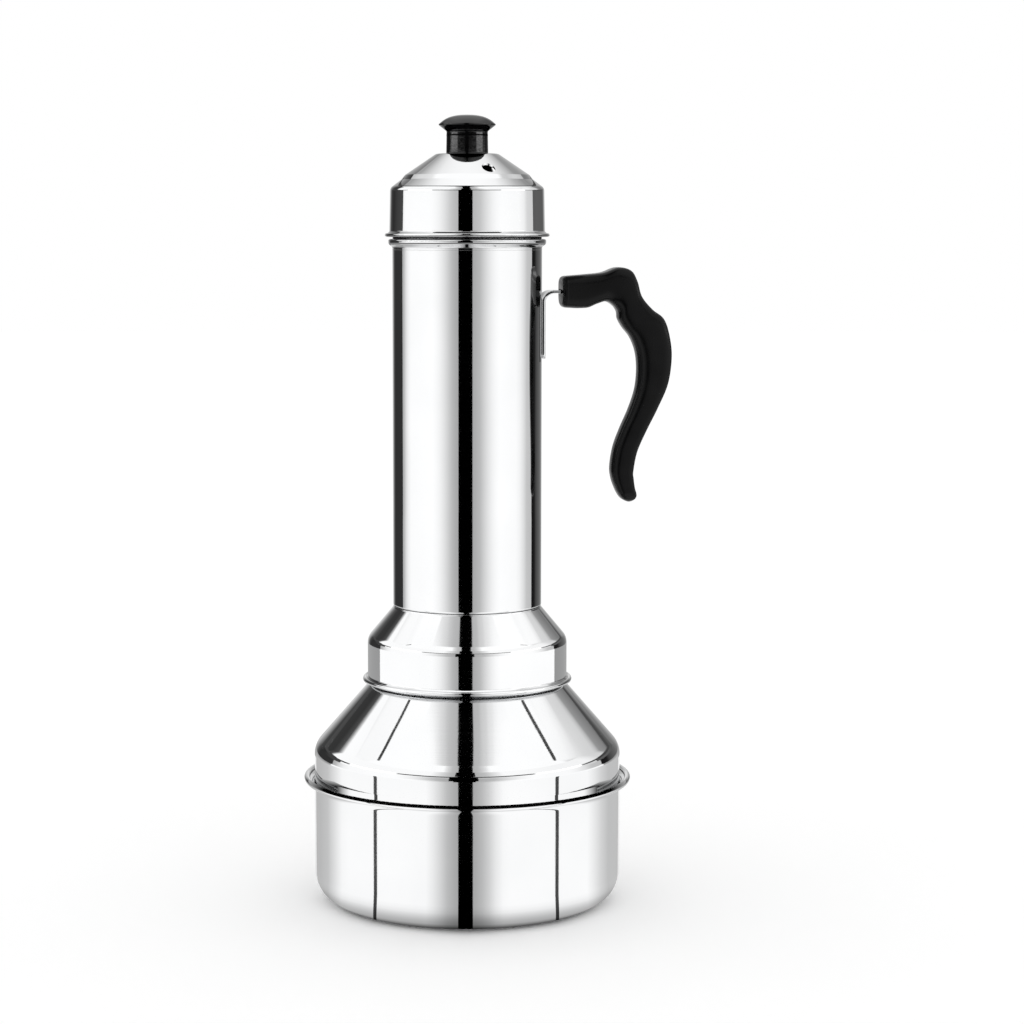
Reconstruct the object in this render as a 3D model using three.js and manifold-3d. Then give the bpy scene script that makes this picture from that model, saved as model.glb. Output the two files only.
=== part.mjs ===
// Puttu maker: a stovetop steamer for cylinders of ground rice and coconut.
// From the bottom up: water pot, steam cone, steaming tube on its flared collar, lid with a knob.
// Millimetres, +Z up, origin in the middle of the pot's underside, handle along +X.
import * as THREE from 'three';
import { mergeVertices } from 'three/addons/utils/BufferGeometryUtils.js';
import Module from 'manifold-3d';

const wasm = await Module();
wasm.setup();

// Sheet, fits and facets
const sheet = 0.8; // stainless sheet of every shell
const slip = 0.4; // radial gap between a sleeve and what it goes over or into
const seatGap = 0.3; // gap left where rounded sheet rests on rounded sheet
const facets = 32; // flats round a turned shell
const smallFacets = 16; // flats round a screw, an insert or a round hole
const bendStep = THREE.MathUtils.degToRad(30); // most that a bend turns between two points
const beadSteps = 7; // flats round a rolled edge

// Water pot
const potRadius = 77.7; // outside of the wall
const potHeight = 65.2; // top of the rolled rim
const potCorner = 16.5; // outside radius at the bottom
const rimReach = 5.2; // how far the rim stands out from the wall
const rimBead = 1.5; // radius of the rolled rim
const lipBend = 4; // bend from the wall into the flared mouth
const lipLean = THREE.MathUtils.degToRad(65); // lean of the flared mouth from upright

// Steam cone
const skirtLedge = 0.25; // how far the skirt overlaps the pot's bore, to rest in the flare
const skirtGuide = 12; // sleeve below the step, inside the pot
const stepRise = 1; // height of the step that rests in the flare
const skirtHeight = 19.2; // from the step up to the corner under the cone
const coneHeight = 32.6; // from that corner up to the foot of the neck
const shoulderBend = 5; // corner between skirt and cone
const neckBend = 6; // hollow bend between cone and neck
const neckHeight = 22; // foot of the neck up to its open end, inside the tube's collar
const neckLand = 1.5; // upright end of the cone that the neck is welded to

// Collar of the tube
const collarRadius = 50.1; // outside of the wall
const collarDepth = 20; // from the shoulder corner down to the rolled edge
const collarRise = 15.9; // from the shoulder corner up to the tube
const collarBend = 4.1; // shoulder corner
const collarReach = 2.7; // how far the rolled edge stands out
const collarBead = 1.3; // radius of the rolled edge
const collarLand = 0.5; // upright land that the tube is welded to
const flareLean = THREE.MathUtils.degToRad(35); // lean of the sheet just above a rolled edge
const flareBend = 2.5; // bend into that lean

// Steaming tube
const tubeRadius = 37.45; // outside of the wall
const tubeLength = 203; // foot to open end
const footLip = 3.6; // lip turned in at the foot, carries the strainer
const stopDrop = 19.7; // open end down to the middle of the stop bead
const stopReach = 2.05; // how far the stop bead stands out
const stopCrown = 1.7; // half height of its crown
const stopFoot = 3; // half height where it leaves the wall
const stopBend = 1.5; // its bends

// Strainer disc
const discGap = 0.5; // gap to the tube's bore
const discRim = 5; // height of the turned-down rim
const discBend = 1.6; // bend into the rim
const discHole = 3.4; // diameter of a steam hole
const discPitch = 9.4; // distance between rings of holes
const discRings = 3; // rings round the middle hole
const discHoleSides = 6;

// Lid
const lidSlip = 0.3; // radial gap over the tube's end
const lidDraft = 0.2; // how much the wall opens downwards
const lidHeight = 40; // from the middle of the rolled edge to the flat top
const lidReach = 2.45; // how far the rolled edge stands out
const lidBead = 1.2; // radius of the rolled edge
const crownFlat = 16.6; // radius of the flat top
const crownRadius = 30.8; // foot of the upper cone
const crownDrop = 10; // fall of the upper cone
const ringWidth = 2.7; // steep ring below the upper cone
const ringDrop = 3.1;
const shoulderDrop = 4.1; // from the steep ring down to the wall's corner
const lidCorner = 2.6; // corner between shoulder and wall
const crownBend = 3; // edge of the flat top
const ringBend = 1.2; // both edges of the steep ring
const ventDiameter = 7; // steam holes
const ventRadius = 25.5; // their distance from the axis
const ventCount = 3;
const ventTurn = THREE.MathUtils.degToRad(-73); // direction of the first

// Knob and its fixing
const knobHeight = 20.2;
const knobStem = 10.5; // radius of the stem
const knobFlange = 14.2; // radius of the finger flange
const knobEdge = 14.9; // height of the flange's edge
const knobNeck = 11.4; // height where the stem turns out to the flange
const knobTaper = 0.2; // how much the stem draws in upwards
const knobLip = 0.8; // thickness of the flange's edge
const screwRadius = 2; // both screws
const screwGap = 0.2; // gap round a screw's shank
const headRadius = 4;
const headHeight = 2.4;
const washerRadius = 5.5;
const washerThick = 0.8;
const insertWall = 1.5; // brass round the screw
const knobInsertLength = 10;
const knobScrewLength = 11; // shank above the washer
const bossGap = 0.2; // gap round an insert and past its end

// Handle
const armHeight = 158; // strap's arm above the tube's foot
const strapThick = 1.5;
const strapWidth = 16;
const tangWidth = 9.6; // arm inside the grip
const strapLeg = 33.5; // arm down to the end of the leg
const strapBend = 4; // inside radius between leg and arm
const strapGap = 0.3; // leg to tube
const tangLength = 24; // its length
const gripStandoff = 10; // tube to the end of the grip
const gripReach = 56.4; // end of the grip to its outermost point
const gripLength = 119.2; // top of the grip to its tail
const gripRise = 12.7; // arm up to the top of the grip
const gripThick = 18; // at the top
const tailThick = 14; // at the tail
const gripRound = 1.8; // rounding of the grip's edges
const gripRoundDepth = 2.6;
const gripPoints = 72; // points round the outline
const screwOut = 11; // end of the grip to its screw
const gripInsertLength = 5;
const counterbore = 4.2; // depth of the recess for the screw's head, up from the underside

// Works out where the pieces seat on each other.
const potMiddle = potRadius - sheet / 2;
const rimCentre = { r: potRadius + rimReach - rimBead, z: potHeight - rimBead };
const flareCorner = rimCentre.z - (rimCentre.r - potMiddle) / Math.tan(lipLean);
const flareStart = flareCorner - lipBend * Math.tan(lipLean / 2);
const flareInside = lipBend + sheet / 2;
const skirtSeat = flareStart + sagDepth(flareInside, skirtLedge) + seatGap;
const guideMiddle = potRadius - sheet - slip - sheet / 2;
const skirtMiddle = potRadius - sheet + skirtLedge - sheet / 2;
const coneCorner = skirtSeat + skirtHeight;
const neckFoot = coneCorner + coneHeight;
const neckTop = neckFoot + neckHeight;

const collarMiddle = collarRadius - sheet / 2;
const neckMiddle = collarRadius - sheet - slip - sheet / 2;
const coneLean = Math.atan2(skirtMiddle - neckMiddle, coneHeight);
const neckSeam = neckFoot + neckBend * Math.tan(coneLean / 2) + neckLand;
const tubeMiddle = tubeRadius - sheet / 2;
const collarLean = Math.atan2(collarMiddle - tubeMiddle, collarRise);
const shoulderStart = neckTop - sagDepth(collarBend - sheet / 2, slip / 2);
const collarCorner = shoulderStart + collarBend * Math.tan(collarLean / 2);
const collarEdge = { r: collarRadius + collarReach - collarBead, z: collarCorner - collarDepth };
const tubeFoot = collarCorner + collarRise + collarLand;

const tubeBore = tubeRadius - sheet;
const tubeTop = tubeFoot + tubeLength;
const stopHeight = tubeTop - stopDrop;
const stopLean = Math.atan2(stopReach, stopFoot - stopCrown);
const stopTangent = stopBend * Math.tan(stopLean / 2);

const lidMiddle = tubeRadius + lidSlip + sheet / 2;
const lidEdgeRadius = lidMiddle + lidDraft + sheet / 2 + lidReach - lidBead;
const lidEdgeOut = lidEdgeRadius - (tubeMiddle + stopReach - stopBend);
const lidEdgeAway = lidBead + stopBend + sheet / 2 + seatGap;
const lidEdge = stopHeight + stopCrown - stopTangent + Math.sqrt(lidEdgeAway ** 2 - lidEdgeOut ** 2);
const lidTop = lidEdge + lidHeight;

const armLevel = tubeFoot + armHeight;
const gripEnd = tubeRadius + gripStandoff;
const gripTop = armLevel + gripRise;

// Rise along an arc from its tangent point until it has come in by a small depth.
function sagDepth(radius, depth) {
  return Math.sqrt(2 * radius * depth - depth ** 2);
}

// A corner of a sheet's middle line: distance from the axis, height and bend radius.
function at(r, z, bend = 0) {
  return { r, z, bend };
}

// Rounds the corners of a sheet's middle line.
function roundCorners(corners) {
  const line = [];
  const points = corners.map((corner) => new THREE.Vector2(corner.r, corner.z));
  corners.forEach((corner, i) => {
    if (corner.bend === 0) {
      line.push(points[i]);
      return;
    }
    const back = points[i - 1].clone().sub(points[i]).normalize();
    const ahead = points[i + 1].clone().sub(points[i]).normalize();
    const half = Math.acos(back.dot(ahead)) / 2;
    const inward = back.clone().add(ahead).normalize();
    const centre = points[i].clone().addScaledVector(inward, corner.bend / Math.sin(half));
    const first = points[i].clone().addScaledVector(back, corner.bend / Math.tan(half));
    const turn = (Math.PI - 2 * half) * -Math.sign(back.cross(ahead));
    const steps = Math.max(1, Math.ceil(Math.abs(turn) / bendStep));
    for (let k = 0; k <= steps; k += 1) {
      line.push(first.clone().rotateAround(centre, (turn * k) / steps));
    }
  });
  return line;
}

// Gives a middle line its wall, half to each side. The last end may close in a rolled bead.
function sheetWall(corners, bead = 0) {
  const line = roundCorners(corners);
  const headings = line.slice(1).map((point, i) => point.clone().sub(line[i]).normalize());
  const side = (offset) => line.map((point, i) => {
    const before = headings[Math.max(i - 1, 0)];
    const after = headings[Math.min(i, headings.length - 1)];
    const normal = new THREE.Vector2(-before.y - after.y, before.x + after.x).normalize();
    const across = normal.dot(new THREE.Vector2(-before.y, before.x));
    return point.clone().addScaledVector(normal, offset / across);
  });
  const left = side(sheet / 2);
  const right = side(-sheet / 2);
  if (bead > 0) {
    const centre = line.at(-1);
    const entry = headings.at(-1).angle() + Math.PI;
    const mouth = Math.asin(sheet / 2 / bead);
    left.pop();
    right.pop();
    for (let k = 0; k <= beadSteps; k += 1) {
      const angle = entry - mouth - ((2 * Math.PI - 2 * mouth) * k) / beadSteps;
      left.push(new THREE.Vector2(bead, 0).rotateAround(new THREE.Vector2(), angle).add(centre));
    }
  }
  return [...left, ...right.reverse()];
}

// Turns a closed profile of (radius, height) points about the Z axis.
function revolve(profile, sides = facets) {
  const ring = profile.map((point) => new THREE.Vector2(Math.max(point.x, 0), point.y));
  if (THREE.ShapeUtils.isClockWise(ring)) ring.reverse();
  const onAxis = ring.findIndex((point, i) => point.x === 0 && ring.at(i - 1).x === 0);
  const closed = onAxis < 0 ? [...ring, ring[0]] : [...ring.slice(onAxis), ...ring.slice(0, onAxis)];
  return new THREE.LatheGeometry(closed, sides).rotateX(Math.PI / 2);
}

// A round bar between two heights, used for shanks and for holes.
function bar(radius, low, high, sides = facets) {
  const shape = new THREE.CylinderGeometry(radius, radius, high - low, sides);
  return shape.rotateX(Math.PI / 2).translate(0, 0, (low + high) / 2);
}

// A flat-ended sleeve between two heights.
function sleeve(outer, inner, low, high, sides) {
  const corners = [[inner, low], [outer, low], [outer, high], [inner, high]];
  return revolve(corners.map(([r, z]) => new THREE.Vector2(r, z)), sides);
}

// Closed mesh to solid, for joining and cutting.
function solid(geometry) {
  const bare = new THREE.BufferGeometry();
  bare.setAttribute('position', geometry.getAttribute('position'));
  bare.setIndex(geometry.getIndex());
  const merged = mergeVertices(bare);
  const corners = merged.getIndex().array;
  const triangles = [];
  for (let i = 0; i < corners.length; i += 3) {
    const [a, b, c] = corners.slice(i, i + 3);
    if (a !== b && b !== c && c !== a) triangles.push(a, b, c);
  }
  const vertProperties = Float32Array.from(merged.getAttribute('position').array);
  const triVerts = Uint32Array.from(triangles);
  return new wasm.Manifold(new wasm.Mesh({ numProp: 3, vertProperties, triVerts }));
}

// Solid back to a mesh.
function surface(body) {
  const mesh = body.getMesh();
  const geometry = new THREE.BufferGeometry();
  geometry.setAttribute('position', new THREE.BufferAttribute(mesh.vertProperties, 3));
  geometry.setIndex(new THREE.BufferAttribute(mesh.triVerts, 1));
  return geometry;
}

// Cuts each tool out of a piece.
function cut(geometry, tools) {
  return surface(tools.reduce((body, tool) => body.subtract(solid(tool)), solid(geometry)));
}

// Materials
function finish(color, roughness, metalness) {
  return new THREE.MeshStandardMaterial({ color, roughness, metalness });
}
const polishedSteel = finish(0xd4d6d8, 0.08, 1);
const brushedSteel = finish(0xc4c6c8, 0.3, 1);
const blackBakelite = finish(0x0d0d0e, 0.25, 0);
const zincSteel = finish(0xb8bab8, 0.35, 1);
const brass = finish(0xb99a55, 0.35, 1);

const group = new THREE.Group();
function piece(name, geometry, material) {
  const mesh = new THREE.Mesh(geometry, material);
  mesh.name = name;
  group.add(mesh);
}

// Water pot: drawn shell with a flared mouth and a rolled rim.
function basePot() {
  return revolve(sheetWall([
    at(0, sheet / 2),
    at(potMiddle, sheet / 2, potCorner - sheet / 2),
    at(potMiddle, flareCorner, lipBend),
    at(rimCentre.r, rimCentre.z),
  ], rimBead));
}

// Steam cone: sleeve and step inside the pot's mouth, skirt and cone in one sheet.
function steamCone() {
  return revolve(sheetWall([
    at(guideMiddle, skirtSeat - stepRise - skirtGuide),
    at(guideMiddle, skirtSeat - stepRise),
    at(skirtMiddle, skirtSeat),
    at(skirtMiddle, coneCorner, shoulderBend),
    at(neckMiddle, neckFoot, neckBend),
    at(neckMiddle, neckSeam),
  ]));
}

// Neck: sleeve welded to the top of the cone, which the tube's collar slips over.
function coneNeck() {
  return revolve(sheetWall([at(neckMiddle, neckSeam), at(neckMiddle, neckTop)]));
}

// Collar: land under the tube, cone, wall over the neck and a rolled lower edge.
function tubeCollar() {
  const flareTop = collarEdge.z + (collarEdge.r - collarMiddle) / Math.tan(flareLean);
  return revolve(sheetWall([
    at(tubeMiddle, tubeFoot),
    at(tubeMiddle, tubeFoot - collarLand),
    at(collarMiddle, collarCorner, collarBend),
    at(collarMiddle, flareTop, flareBend),
    at(collarEdge.r, collarEdge.z),
  ], collarBead));
}

// Tube: lip turned in at the foot, straight wall, stop bead swaged out below the open end.
function puttuTube() {
  const crest = tubeMiddle + stopReach;
  return revolve(sheetWall([
    at(tubeBore - footLip, tubeFoot + sheet / 2),
    at(tubeMiddle, tubeFoot + sheet / 2),
    at(tubeMiddle, stopHeight - stopFoot, stopBend),
    at(crest, stopHeight - stopCrown, stopBend),
    at(crest, stopHeight + stopCrown, stopBend),
    at(tubeMiddle, stopHeight + stopFoot, stopBend),
    at(tubeMiddle, tubeTop),
  ]));
}

// Strainer: inverted shallow cup on the foot lip, with rings of steam holes.
function perforatedDisc() {
  const low = tubeFoot + sheet;
  const plate = low + discRim - sheet / 2;
  const rim = tubeBore - discGap - sheet / 2;
  const shell = revolve(sheetWall([at(0, plate), at(rim, plate, discBend), at(rim, low)]));
  const holes = [];
  for (let ring = 0; ring <= discRings; ring += 1) {
    const count = Math.max(1, 6 * ring);
    for (let k = 0; k < count; k += 1) {
      const turn = (2 * Math.PI * k) / count;
      const hole = bar(discHole / 2, plate - sheet, plate + sheet, discHoleSides);
      holes.push(hole.translate(ring * discPitch * Math.cos(turn), ring * discPitch * Math.sin(turn), 0));
    }
  }
  return cut(shell, holes);
}

// Lid: flat top, cone, steep ring, shoulder, wall and rolled edge, with steam holes in the cone.
function lidCap() {
  const flareTop = lidEdge + (lidEdgeRadius - lidMiddle - lidDraft) / Math.tan(flareLean);
  const top = lidTop - sheet / 2;
  const shell = revolve(sheetWall([
    at(screwRadius + screwGap, top),
    at(crownFlat, top, crownBend),
    at(crownRadius, top - crownDrop, ringBend),
    at(crownRadius + ringWidth, top - crownDrop - ringDrop, ringBend),
    at(lidMiddle, top - crownDrop - ringDrop - shoulderDrop, lidCorner),
    at(lidMiddle + lidDraft, flareTop, flareBend),
    at(lidEdgeRadius, lidEdge),
  ], lidBead));
  const vents = [];
  for (let k = 0; k < ventCount; k += 1) {
    const turn = ventTurn + (2 * Math.PI * k) / ventCount;
    const vent = bar(ventDiameter / 2, lidEdge, lidTop, smallFacets);
    vents.push(vent.translate(ventRadius * Math.cos(turn), ventRadius * Math.sin(turn), 0));
  }
  return cut(shell, vents);
}

// Knob: waisted stem under a thin finger flange with a low crown, bored for its insert.
function lidKnob() {
  const outline = new THREE.Path();
  const crown = knobHeight - knobEdge;
  outline.moveTo(0, lidTop);
  outline.lineTo(knobStem, lidTop);
  outline.lineTo(knobStem - knobTaper, lidTop + knobNeck);
  outline.lineTo(knobFlange, lidTop + knobEdge - knobLip);
  outline.lineTo(knobFlange, lidTop + knobEdge);
  outline.bezierCurveTo(
    knobFlange - crown / 3, lidTop + knobEdge + crown / 2,
    knobFlange - crown, lidTop + knobHeight,
    0, lidTop + knobHeight,
  );
  const body = revolve(outline.getPoints(6));
  const bore = screwRadius + screwGap + insertWall + bossGap;
  const depth = Math.max(knobInsertLength, knobScrewLength - washerThick - sheet) + 2 * bossGap;
  return cut(body, [bar(bore, lidTop - sheet, lidTop + depth, smallFacets)]);
}

// Brass sleeve round a screw.
function threadedInsert(low, length) {
  const inner = screwRadius + screwGap;
  return sleeve(inner + insertWall, inner, low, low + length, smallFacets);
}

// Pan-head screw pointing up, its head below the given height.
function panScrew(height, shank) {
  const low = height - headHeight;
  const outline = [
    [0, low], [headRadius * 0.7, low], [headRadius, low + headHeight * 0.4], [headRadius, height],
    [screwRadius, height], [screwRadius, height + shank], [0, height + shank],
  ];
  return revolve(outline.map(([r, z]) => new THREE.Vector2(r, z)), smallFacets);
}

const undersideShare = 0.174; // underside of the grip's upper block, as below

// Outline of the grip as shares of its reach and of its length, from the arm's end round the top,
// down the back, round the tail and up the finger side.
function gripOutline() {
  const shares = [
    [0, 0.107], [0.014, 0.051], [0.08, 0.035], [0.257, 0.03], [0.4, 0.018], [0.53, 0], [0.63, 0.016],
    [0.68, 0.058], [0.71, 0.11], [0.81, 0.174], [0.918, 0.216], [0.982, 0.301], [1, 0.383],
    [0.972, 0.492], [0.878, 0.596], [0.741, 0.724], [0.665, 0.834], [0.66, 0.92], [0.683, 0.971],
    [0.622, 1], [0.541, 0.964], [0.473, 0.89], [0.466, 0.803], [0.541, 0.691], [0.64, 0.581],
    [0.697, 0.459], [0.668, 0.339], [0.558, 0.253], [0.521, 0.207], [0.466, 0.159], [0.372, 0.146],
    [0.264, 0.167], [0.089, undersideShare], [0.016, 0.154],
  ];
  const through = shares.map(([out, down]) => (
    new THREE.Vector3(gripEnd + out * gripReach, gripTop - down * gripLength, 0)
  ));
  return new THREE.CatmullRomCurve3(through, true).getSpacedPoints(gripPoints).slice(0, -1);
}

// Grip: moulded outline with rounded edges, thinner at the tail, slotted for the strap's tang.
function handleGrip() {
  const outline = gripOutline().map((point) => new THREE.Vector2(point.x, point.y));
  const flat = gripThick - 2 * gripRoundDepth;
  const form = new THREE.ExtrudeGeometry(new THREE.Shape(outline), {
    depth: flat,
    bevelThickness: gripRoundDepth,
    bevelSize: gripRound,
    bevelOffset: -gripRound,
    bevelSegments: 3,
  });
  form.translate(0, 0, -flat / 2).rotateX(Math.PI / 2);
  const places = form.getAttribute('position');
  for (let i = 0; i < places.count; i += 1) {
    const down = (gripTop - places.getZ(i)) / gripLength;
    const thin = THREE.MathUtils.lerp(gripThick, tailThick, down) / gripThick;
    places.setY(i, places.getY(i) * thin);
  }
  const slotHigh = strapThick + 2 * seatGap;
  const slotLong = tangLength + seatGap;
  const slot = new THREE.BoxGeometry(slotLong * 2, tangWidth + 2 * seatGap, slotHigh);
  slot.translate(gripEnd, 0, armLevel);
  const x = gripEnd + screwOut;
  const headSeat = screwHead();
  const insertTop = armLevel + slotHigh / 2 + gripInsertLength + 2 * bossGap;
  const shankHole = bar(screwRadius + screwGap, headSeat - seatGap, insertTop + bossGap, smallFacets);
  const headHole = bar(headRadius + slip, armLevel - gripLength, headSeat, smallFacets);
  const pocketRadius = screwRadius + screwGap + insertWall + bossGap;
  const pocket = bar(pocketRadius, armLevel, insertTop, smallFacets);
  return cut(form, [slot, ...[shankHole, headHole, pocket].map((tool) => tool.translate(x, 0, 0))]);
}

// Height of the face that the grip's screw pulls against.
function screwHead() {
  return gripTop - undersideShare * gripLength + counterbore;
}

// Strap: leg rolled to the tube, bend and arm, with a narrower tang that goes into the grip.
function handleBracket() {
  const inner = tubeRadius + strapGap;
  const outer = inner + strapThick;
  const half = Math.asin(strapWidth / 2 / outer);
  const band = new THREE.Shape();
  band.absarc(0, 0, outer, -half, half, false);
  band.absarc(0, 0, inner, half, -half, true);
  const legTop = armLevel + strapThick / 2 - strapBend - strapThick;
  const legLow = armLevel - strapLeg;
  const legOptions = { depth: legTop - legLow, bevelEnabled: false, curveSegments: 6 };
  const leg = new THREE.ExtrudeGeometry(band, legOptions).translate(0, 0, legLow);
  const side = new THREE.Shape();
  const bendX = outer + strapBend;
  side.moveTo(inner, legTop - strapBend);
  side.lineTo(outer, legTop - strapBend);
  side.lineTo(outer, legTop);
  side.absarc(bendX, legTop, strapBend, Math.PI, Math.PI / 2, true);
  side.lineTo(gripEnd, armLevel - strapThick / 2);
  side.lineTo(gripEnd, armLevel + strapThick / 2);
  side.absarc(bendX, legTop, strapBend + strapThick, Math.PI / 2, Math.PI, false);
  const armOptions = { depth: strapWidth, bevelEnabled: false, curveSegments: 4 };
  const arm = new THREE.ExtrudeGeometry(side, armOptions);
  arm.translate(0, 0, -strapWidth / 2).rotateX(Math.PI / 2);
  const tangRoot = gripStandoff / 2;
  const tang = new THREE.BoxGeometry(tangLength + tangRoot, tangWidth, strapThick);
  tang.translate(gripEnd + (tangLength - tangRoot) / 2, 0, armLevel);
  const hole = bar(screwRadius + screwGap, armLevel - strapBend, armLevel + strapBend, smallFacets);
  hole.translate(gripEnd + screwOut, 0, 0);
  return surface(solid(leg).add(solid(arm)).add(solid(tang)).subtract(solid(hole)));
}

piece('base_pot', basePot(), polishedSteel);
piece('steam_cone', steamCone(), polishedSteel);
piece('cone_neck', coneNeck(), polishedSteel);
piece('puttu_tube', puttuTube(), polishedSteel);
piece('tube_collar', tubeCollar(), polishedSteel);
piece('perforated_disc', perforatedDisc(), brushedSteel);
piece('lid_cap', lidCap(), polishedSteel);
piece('lid_knob', lidKnob(), blackBakelite);

const washerTop = lidTop - sheet;
piece('knob_insert', threadedInsert(lidTop, knobInsertLength), brass);
piece('knob_washer', sleeve(
  washerRadius, screwRadius + screwGap, washerTop - washerThick, washerTop, smallFacets,
), zincSteel);
piece('knob_screw', panScrew(washerTop - washerThick, knobScrewLength), zincSteel);

piece('handle_bracket', handleBracket(), brushedSteel);
piece('handle_grip', handleGrip(), blackBakelite);
const gripInsertLow = armLevel + strapThick / 2 + seatGap;
const gripInsert = threadedInsert(gripInsertLow, gripInsertLength).translate(gripEnd + screwOut, 0, 0);
piece('handle_insert', gripInsert, brass);
const gripScrewLength = gripInsertLow + gripInsertLength - screwHead();
const gripScrew = panScrew(screwHead(), gripScrewLength).translate(gripEnd + screwOut, 0, 0);
piece('handle_screw', gripScrew, zincSteel);

export default group;
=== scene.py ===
import math
import bmesh
import bpy
from mathutils import Matrix, Vector


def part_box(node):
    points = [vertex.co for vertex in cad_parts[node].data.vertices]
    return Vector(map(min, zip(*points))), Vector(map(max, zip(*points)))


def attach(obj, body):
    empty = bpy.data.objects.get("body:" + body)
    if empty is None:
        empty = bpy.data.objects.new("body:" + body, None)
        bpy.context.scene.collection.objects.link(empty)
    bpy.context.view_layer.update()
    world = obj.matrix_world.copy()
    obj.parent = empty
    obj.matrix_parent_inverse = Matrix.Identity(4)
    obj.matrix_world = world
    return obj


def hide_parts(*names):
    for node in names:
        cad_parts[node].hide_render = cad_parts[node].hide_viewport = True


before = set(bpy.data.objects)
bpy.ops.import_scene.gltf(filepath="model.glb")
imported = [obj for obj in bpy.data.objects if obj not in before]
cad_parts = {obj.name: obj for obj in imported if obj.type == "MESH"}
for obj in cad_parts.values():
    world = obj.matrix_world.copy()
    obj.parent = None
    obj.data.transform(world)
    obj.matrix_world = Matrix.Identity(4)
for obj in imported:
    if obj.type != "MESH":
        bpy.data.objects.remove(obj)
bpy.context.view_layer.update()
mm = 0.001
sheet = 0.8  # mm, wall of every pressed piece
print("frame loaded,", len(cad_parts), "nodes")


# short helpers for node trees
def addNode(tree, kind, **settings):
    node = tree.nodes.new(kind)
    for name, value in settings.items():
        setattr(node, name, value)
    return node


def calc(tree, operation, *terms):
    node = addNode(tree, "ShaderNodeMath", operation=operation)
    for slot, term in enumerate(terms):
        if isinstance(term, (int, float)):
            node.inputs[slot].default_value = term
        else:
            tree.links.new(term, node.inputs[slot])
    return node.outputs[0]


def startFinish(name, metallic=0.0):
    finish = bpy.data.materials.new(name)
    finish.use_nodes = True
    tree = finish.node_tree
    shader = tree.nodes["Principled BSDF"]
    shader.inputs["Metallic"].default_value = metallic
    place = addNode(tree, "ShaderNodeTexCoord").outputs["Object"]
    return finish, tree, shader, place


def noiseOf(tree, place, scale, detail=2.0, stretch=None):
    if stretch:
        turn = addNode(tree, "ShaderNodeMapping")
        turn.inputs["Scale"].default_value = stretch
        tree.links.new(place, turn.inputs["Vector"])
        place = turn.outputs["Vector"]
    noise = addNode(tree, "ShaderNodeTexNoise")
    noise.inputs["Scale"].default_value = scale
    noise.inputs["Detail"].default_value = detail
    tree.links.new(place, noise.inputs["Vector"])
    return noise.outputs["Fac"]


def rangeOf(tree, value, low, high, fromLow=0.3, fromHigh=0.7):
    node = addNode(tree, "ShaderNodeMapRange")
    tree.links.new(value, node.inputs["Value"])
    for name, number in (("From Min", fromLow), ("From Max", fromHigh), ("To Min", low), ("To Max", high)):
        node.inputs[name].default_value = number
    return node.outputs["Result"]


def toneOf(tree, shader, value, low, high):
    ramp = addNode(tree, "ShaderNodeValToRGB")
    ramp.color_ramp.elements[0].position = 0.3
    ramp.color_ramp.elements[0].color = (*low, 1)
    ramp.color_ramp.elements[1].position = 0.7
    ramp.color_ramp.elements[1].color = (*high, 1)
    tree.links.new(value, ramp.inputs["Fac"])
    tree.links.new(ramp.outputs["Color"], shader.inputs["Base Color"])


def bumpOf(tree, shader, height, strength, distance):
    bump = addNode(tree, "ShaderNodeBump")
    bump.inputs["Strength"].default_value = strength
    bump.inputs["Distance"].default_value = distance
    tree.links.new(height, bump.inputs["Height"])
    tree.links.new(bump.outputs["Normal"], shader.inputs["Normal"])


# rings left by the lathe: the pattern only knows the distance from the axis and the height
def turnedRings(tree, place, perMetre):
    parts = addNode(tree, "ShaderNodeSeparateXYZ")
    tree.links.new(place, parts.inputs[0])
    across = calc(tree, "POWER", parts.outputs[0], 2.0)
    along = calc(tree, "POWER", parts.outputs[1], 2.0)
    square = calc(tree, "ADD", across, along)
    ring = addNode(tree, "ShaderNodeCombineXYZ")
    tree.links.new(calc(tree, "SQRT", square), ring.inputs[0])
    tree.links.new(parts.outputs[2], ring.inputs[2])
    return noiseOf(tree, ring.outputs[0], perMetre, 3.0)


def polishedSteelFinish():
    look = {"dark": (0.685, 0.69, 0.695), "light": (0.715, 0.718, 0.722), "rings": 900.0, "clouds": 24.0,
            "rough": (0.02, 0.045), "ringRough": (0.0, 0.02), "ringHeight": 0.12, "dents": 0.04}
    finish, tree, shader, place = startFinish("polishedSteel", 1.0)
    rings = turnedRings(tree, place, look["rings"])
    clouds = noiseOf(tree, place, look["clouds"], 3.0)
    toneOf(tree, shader, clouds, look["dark"], look["light"])
    cloudRough = rangeOf(tree, clouds, *look["rough"])
    ringRough = rangeOf(tree, rings, *look["ringRough"])
    tree.links.new(calc(tree, "ADD", cloudRough, ringRough), shader.inputs["Roughness"])
    height = calc(tree, "ADD", calc(tree, "MULTIPLY", rings, look["ringHeight"]), clouds)
    bumpOf(tree, shader, height, look["dents"], distance=0.0006)
    return finish


satinLook = {"dark": (0.62, 0.625, 0.63), "light": (0.74, 0.742, 0.745), "grain": 900.0,
             "rough": (0.18, 0.32), "dents": 0.12}
strapLook = {"dark": (0.58, 0.585, 0.59), "light": (0.66, 0.662, 0.665), "grain": 700.0,
             "rough": (0.05, 0.11), "dents": 0.05}


def satinSteelFinish(name, look):
    finish, tree, shader, place = startFinish(name, 1.0)
    grain = noiseOf(tree, place, look["grain"], 3.0, (0.08, 1.0, 1.0))
    toneOf(tree, shader, grain, look["dark"], look["light"])
    tree.links.new(rangeOf(tree, grain, *look["rough"]), shader.inputs["Roughness"])
    bumpOf(tree, shader, grain, look["dents"], distance=0.0002)
    return finish


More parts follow.
